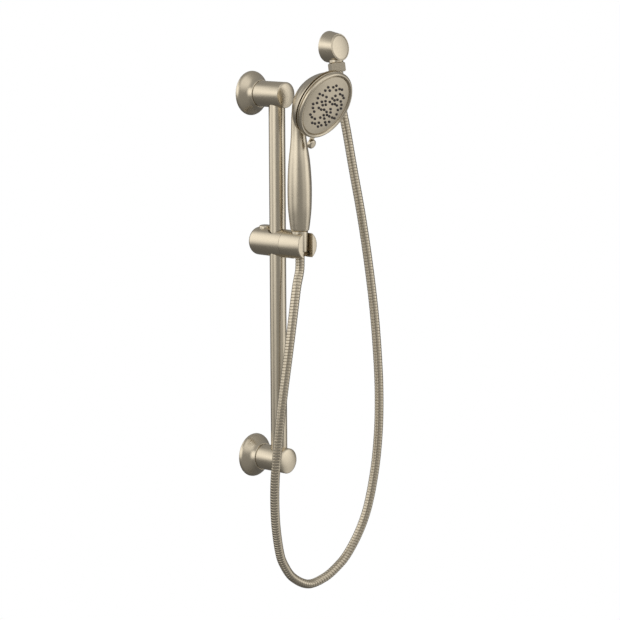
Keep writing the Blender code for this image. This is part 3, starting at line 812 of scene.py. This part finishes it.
def add_spray_face():
    bezel = rounded(
        [
            (47.15, -5.9),
            (47.15, -2.6, 0.5),
            (48.0, -0.9, 0.8),
            (49.6, 0.25, 1.0),
            (51.6, 0.0, 1.4),
            (53.3, -1.9, 1.0),
            (53.4, -4.2, 0.9),
            (51.9, -5.2, 0.3),
            (50.8, -5.9),
        ],
        6,
    )
    ring = piece("face_ring", lathe(bezel, 160), HEAD, "satin_nickel")
    placed(ring, "handset", "nickel_on_plastic", "face_bezel")

    dome = [(r, face_height(r)) for r in np.linspace(0, 46.2, 30)]
    plate = dome + rounded([(46.9, -2.4, 0.4), (46.9, -4.6), (0, -4.6)])
    face = piece("spray_face", lathe([tuple(p) for p in plate], 128), HEAD, "satin_nickel")
    placed(face, "handset", "nickel_on_plastic", "spray_plate")

    tip = rounded(
        [
            (0, 0.5),
            (0.5, 0.5),
            (0.6, 1.7, 0.1),
            (1.5, 1.7, 0.5),
            (2.1, 0.1),
            (2.25, -0.2, 0.1),
            (2.25, -1.2),
            (0, -1.2),
        ],
        3,
    )
    nozzles = bmesh.new()
    for radius, count, first, bare in NOZZLE_RINGS:
        for k in range(count):
            if bare is not None and k % 4 == bare:
                continue
            angle = math.radians(first + 360 * k / count)
            lean = math.atan2(radius, FACE_CURVE)
            place = (
                Matrix.Rotation(angle, 4, "Z")
                @ Matrix.Translation((radius, 0, face_height(radius)))
                @ Matrix.Rotation(lean, 4, "Y")
            )
            lathe(tip, 18, nozzles, place)
    rubber = piece("rubber_nozzles", nozzles, HEAD, "black_rubber")
    placed(rubber, "handset", "black_rubber")


def add_selector():
    """The ring behind the face and its thumb tab."""
    ring = rounded(
        [
            (45.0, -6.3),
            (50.6, -6.3),
            (52.3, -7.0, 0.5),
            (52.4, -8.5, 0.5),
            (50.4, -9.9),
            (47.6, -9.9),
            (47.6, -11.9),
            (14.0, -11.9),
            (14.0, -9.9),
            (45.0, -9.9),
        ]
    )
    outer = piece("selector_band", lathe(ring, 160), HEAD, "satin_nickel")
    stem = block((-4.4, 4.4), (TAB_CENTRE + 2, -49.5), (-8.8, -6.9))
    lobe = rounded(
        [
            (0, -9.0),
            (TAB_RADIUS, -8.9, 1.6),
            (TAB_RADIUS + 0.2, -4.0, 1.8),
            (TAB_RADIUS - 1.6, -1.9, 1.4),
            (0, -1.5),
        ],
        6,
    )
    tab = HEAD @ Matrix.Translation((0, TAB_CENTRE * MM, 0))
    carved(outer, (stem, HEAD), (lathe(lobe, 64), tab), operation="UNION")
    placed(outer, "selector", "nickel_on_plastic", "selector_ring")


# Hose fittings and wall elbow


def add_hose_nut():
    outline = rounded(
        [
            (10.5, NUT_TOP),
            (NUT_TOP_RADIUS, NUT_TOP, 0.6),
            (NUT_BOTTOM_RADIUS, NUT_BOTTOM, 1.2),
            (7.6, NUT_BOTTOM, 0.2),
            (7.6, -221.3),
            (10.5, -221.3),
        ]
    )
    nut = piece("cone_nut", lathe(outline, 96), HANDLE, "satin_nickel")
    placed(nut, "handset", "satin_nickel", "hose_cone_nut")
    sleeve = rounded(
        [
            (5.0, -218.6),
            (9.9, -218.6),
            (9.9, -221.0),
            (7.3, -221.0),
            (7.3, -237.0, 0.3),
            (5.0, -237.0),
        ]
    )
    end = piece("hose_sleeve", lathe(sleeve, 64), HANDLE, "satin_nickel")
    placed(end, "hose_end", "satin_nickel", "handset_hose_ferrule")


def add_elbow():
    outline = rounded(
        [
            (0, 14),
            (10.3, 14),
            (10.3, 0),
            (ELBOW_BACK_RADIUS - 0.3, 0, 0.6),
            (ELBOW_BACK_RADIUS, 1.2, 0.6),
            (ELBOW_FRONT_RADIUS, ELBOW_DEPTH, 1.4),
        ],
        6,
    )
    reach = ELBOW_FRONT_RADIUS - 1.4
    outline += [
        (r, ELBOW_DEPTH + ELBOW_DOME * (1 - (r / reach) ** 2)) for r in np.linspace(reach - 1, 0, 14)
    ]
    bm = lathe(outline, 128)
    for v in bm.verts:
        if v.co.z > ELBOW_DEPTH - 3:
            v.co.z -= v.co.y * math.tan(OUTLET_TILT)
    body = piece("elbow_body", bm, ELBOW, "satin_nickel")
    collar = [(0, -9), (COLLAR_RADIUS, -9), (COLLAR_RADIUS, -0.8)]
    collar += [(COLLAR_RADIUS - 0.5, -GAP), (0, -GAP)]
    carved(body, (lathe(collar, 64), OUTLET), operation="UNION")
    carved(body, (rod(9.6, -12, 4), OUTLET), (rod(5.5, -26, 0, 32), OUTLET))
    placed(body, "wall_set", "satin_nickel", "wall_elbow")


def add_wall_nut():
    """A hexagon nut with turned corners, and the hose's plain sleeve below it."""
    corner = WALL_NUT_FLATS / math.sqrt(3)
    turn = Matrix.Rotation(NUT_TURN, 4, "Z")
    hexagon = lathe([(0, 0), (corner, 0), (corner, WALL_NUT_LENGTH), (0, WALL_NUT_LENGTH)], 6)
    nut = piece("hex_nut", hexagon, OUTLET @ turn, "satin_nickel", 20)
    reach = WALL_NUT_FLATS / 2
    shape = [
        (0, 0),
        (reach, 0),
        (corner + 0.2, 1.5),
        (corner + 0.2, WALL_NUT_LENGTH - 1.5),
        (reach, WALL_NUT_LENGTH),
        (0, WALL_NUT_LENGTH),
    ]
    carved(nut, (lathe(shape, 96), OUTLET), operation="INTERSECT")
    carved(nut, (rod(9.6, -2, 12.7), OUTLET), (rod(8.4, 10, 18), OUTLET))
    placed(nut, "wall_set", "satin_nickel", "wall_hose_nut")
    outline = rounded(
        [
            (5.0, 11.0),
            (9.2, 11.0),
            (9.2, 12.4),
            (8.0, 12.4),
            (8.0, 15.1),
            (FERRULE_RADIUS, 15.5, 0.4),
            (FERRULE_RADIUS, FERRULE_LENGTH, 0.9),
            (5.0, FERRULE_LENGTH),
        ]
    )
    sleeve = piece("wall_sleeve", lathe(outline, 64), OUTLET, "satin_nickel")
    placed(sleeve, "wall_set", "satin_nickel", "wall_hose_ferrule")


def finish_solids():
    """The solids that stay as they are get their finishes."""
    slots = {s["node"]: s["material_slot"] for s in frame["record"]["subparts"]}
    for name, obj in frame["nodes"].items():
        obj.data.materials.clear()
        obj.data.materials.append(MATERIALS[slots[name]])


# Studio

# Soft light from all round, as (direction, how wide, strength), over an even one
LIGHT_LOBES = (
    ((-0.96, 0.05, 0.24), 0.09, 1.15),
    ((0.60, -0.80, 0.08), 0.06, 1.10),
    ((-0.50, 0.82, 0.30), 0.13, 1.15),
    ((-0.25, -0.70, 0.70), 0.14, 0.60),
    ((0.00, -0.98, 0.12), 0.07, 0.36),
    ((0.75, -0.45, -0.50), 0.07, 0.62),
    ((0.20, 0.10, 1.00), 0.60, 0.22),
    ((-0.73, -0.66, 0.16), 0.80, 0.18),
)
AMBIENT = 0.15


def add_studio():
    world = bpy.data.worlds.new("studio")
    bpy.context.scene.world = world
    world.use_nodes = True
    tree = world.node_tree
    tree.nodes.clear()
    direction = tree.nodes.new("ShaderNodeTexCoord").outputs["Generated"]
    total = None
    for way, width, strength in LIGHT_LOBES:
        facing = tree.nodes.new("ShaderNodeVectorMath")
        facing.operation = "DOT_PRODUCT"
        facing.inputs[1].default_value = Vector(way).normalized()
        tree.links.new(direction, facing.inputs[0])
        lobe = tree.nodes.new("ShaderNodeMapRange")
        lobe.interpolation_type = "SMOOTHSTEP"
        lobe.inputs["From Min"].default_value = 1 - 2 * width
        lobe.inputs["From Max"].default_value = 1.0
        lobe.inputs["To Max"].default_value = strength
        tree.links.new(facing.outputs["Value"], lobe.inputs["Value"])
        add = tree.nodes.new("ShaderNodeMath")
        add.operation = "ADD"
        add.inputs[1].default_value = AMBIENT
        tree.links.new(lobe.outputs["Result"], add.inputs[0])
        if total is not None:
            tree.links.new(total, add.inputs[1])
        total = add.outputs["Value"]
    studio = tree.nodes.new("ShaderNodeBackground")
    studio.inputs["Color"].default_value = (1.0, 0.985, 0.95, 1.0)
    tree.links.new(total, studio.inputs["Strength"])
    paper = tree.nodes.new("ShaderNodeBackground")
    paper.inputs["Color"].default_value = (1, 1, 1, 1)
    seen = tree.nodes.new("ShaderNodeLightPath")
    mix = tree.nodes.new("ShaderNodeMixShader")
    output = tree.nodes.new("ShaderNodeOutputWorld")
    tree.links.new(seen.outputs["Is Camera Ray"], mix.inputs["Fac"])
    tree.links.new(studio.outputs["Background"], mix.inputs[1])
    tree.links.new(paper.outputs["Background"], mix.inputs[2])
    tree.links.new(mix.outputs["Shader"], output.inputs["Surface"])
    bpy.context.scene.view_settings.view_transform = "Standard"


FLOOR_RADIUS = 600.0
FLOOR_HEIGHT = -1450.0


def add_floor():
    """A plain pale floor, well below the set, that no metal mirrors."""
    bm = bmesh.new()
    bmesh.ops.create_circle(bm, cap_ends=True, radius=FLOOR_RADIUS, segments=96)
    MATERIALS["floor"] = moulded("floor", (0.82, 0.82, 0.81), (0.86, 0.86, 0.85), 0.6, 0.05)
    floor = piece("floor", bm, seat(60, -80, FLOOR_HEIGHT), "floor")
    floor.visible_glossy = False


add_camera()
add_hose()
finish_solids()
add_wall_mount("upper", UPPER_POST, BAR_END)
add_wall_mount("lower", LOWER_POST, -BAR_END)
add_bar()
add_slider()
add_springs()
add_cradle()
add_handset_body()
add_spray_face()
add_selector()
add_hose_nut()
add_elbow()
add_wall_nut()
add_studio()
add_floor()
